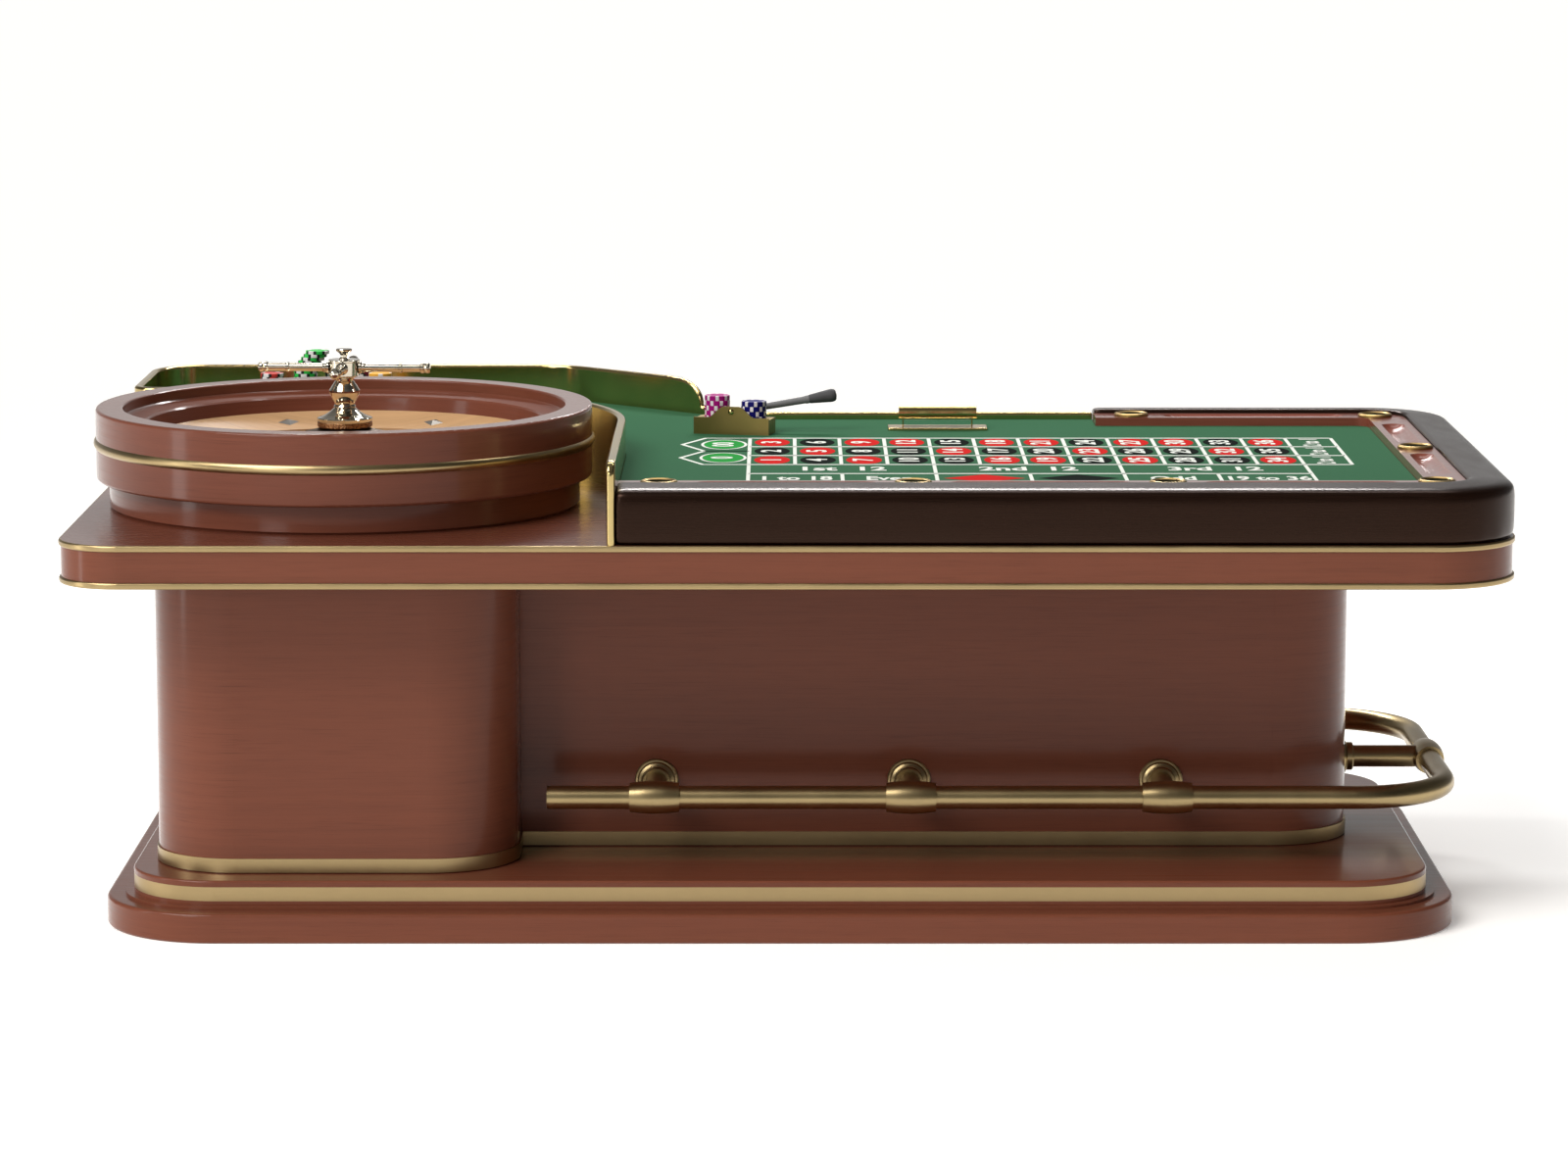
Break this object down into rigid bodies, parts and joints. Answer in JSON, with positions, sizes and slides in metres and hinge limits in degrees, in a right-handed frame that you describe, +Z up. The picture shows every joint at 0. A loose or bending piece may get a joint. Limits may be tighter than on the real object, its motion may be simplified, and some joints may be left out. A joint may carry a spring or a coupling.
{
  "type": "roulette table",
  "caption": "Casino roulette table: wheel with a turret on a low deck, raised felt bed with a padded rail and brass fence, on a stepped base with a foot rail.",
  "frame": {"origin": "on the floor, under the middle of the overall box", "axes": "+X from the wheel's end to the far end, +Y from the players' side to the dealer's side, +Z up"},
  "size_m": [2.447, 1.475, 0.956],
  "materials": {
    "mahogany": "gloss lacquer over fine straight grain",
    "wheel_mahogany": "gloss lacquer over turned grain",
    "satin_brass": "satin",
    "polished_brass": "polished",
    "rail_brass": "satin, lacquered",
    "plywood": "plain",
    "green_felt": "short even nap",
    "dark_leather": "fine grain, soft sheen",
    "shelf_wood": "high gloss lacquer",
    "maple": "satin lacquer",
    "deflector_steel": "polished",
    "turret_gold": "polished and plated",
    "number_ring_black": "gloss enamel",
    "pocket_black": "gloss enamel",
    "fret_steel": "polished",
    "bearing_steel": "ground",
    "ball_white": "gloss",
    "chip_pink": "moulded clay",
    "chip_blue": "moulded clay",
    "chip_green": "moulded clay",
    "chip_mixed": "moulded clay",
    "lever_grey": "satin",
    "grip_black": "soft",
    "clear_acrylic": "clear, polished edges",
    "drop_steel": "plain",
    "box_paint": "powder coat"
  },
  "bodies": {
    "table": {"base_slab": "mahogany", "base_band": "satin_brass", "base_upper_tier": "mahogany", "wheel_pedestal": "mahogany", "wheel_pedestal_band": "satin_brass", "main_pedestal": "mahogany", "main_pedestal_band": "satin_brass", "apron_frame": "mahogany", "deck_panel": "mahogany", "apron_bead_upper": "satin_brass", "apron_bead_lower": "satin_brass", "bed_ribs": "plywood", "bed_panel": "plywood", "felt_cloth": "green_felt", "padded_rail": "dark_leather", "rail_shelf": "shelf_wood", "cup_holders": "polished_brass", "guard_fence": "polished_brass", "wheel_base": "wheel_mahogany", "wheel_rim": "wheel_mahogany", "wheel_bead": "satin_brass", "ball_track": "wheel_mahogany", "stator_apron": "maple", "deflectors": "deflector_steel", "spindle": "bearing_steel", "foot_rail_tube": "rail_brass", "foot_rail_plugs": "rail_brass", "rail_clamps": "rail_brass", "rail_stems": "rail_brass", "rail_rosettes": "rail_brass", "chip_tray_body": "polished_brass", "chip_tray_plate": "polished_brass", "chip_tray_screw": "polished_brass", "chips_pink": "chip_pink", "chips_blue": "chip_blue", "chips_green": "chip_green", "chips_wing": "chip_mixed", "drop_slot_plate": "polished_brass", "drop_chute": "drop_steel", "drop_box_runners": "drop_steel"},
    "rotor": {"rotor_cone": "maple", "rotor_bearings": "bearing_steel", "pocket_ring": "pocket_black", "number_ring": "number_ring_black", "pocket_frets": "fret_steel", "star_plate": "turret_gold", "turret_flange": "turret_gold", "turret_bell": "turret_gold", "turret_column": "turret_gold", "turret_hub": "turret_gold", "turret_arms": "turret_gold", "turret_knob": "turret_gold", "ball": "ball_white"},
    "paddle": {"paddle_blade": "clear_acrylic", "paddle_handle": "polished_brass"},
    "chip_lever": {"lever_rod": "lever_grey", "lever_grip": "grip_black"},
    "drop_box": {"drop_box_shell": "box_paint", "drop_box_door": "box_paint", "drop_box_handle": "fret_steel"}
  },
  "joints": [
    {"name": "rotor_spin", "type": "hinge", "parent": "table", "child": "rotor", "pos_m": [-0.778, -0.1975, 0.79], "axis": [0, 0, 1], "continuous": true},
    {"name": "paddle_lift", "type": "slide", "parent": "table", "child": "paddle", "axis": [0, 0, 1], "range_m": [0, 0.065]},
    {"name": "chip_lever_pivot", "type": "hinge", "parent": "table", "child": "chip_lever", "pos_m": [-0.052, 0.2155, 0.8025], "axis": [0, -1, 0], "range_deg": [0, 55]},
    {"name": "drop_box_slide", "type": "slide", "parent": "table", "child": "drop_box", "axis": [0, 1, 0], "range_m": [0, 0.2]}
  ]
}
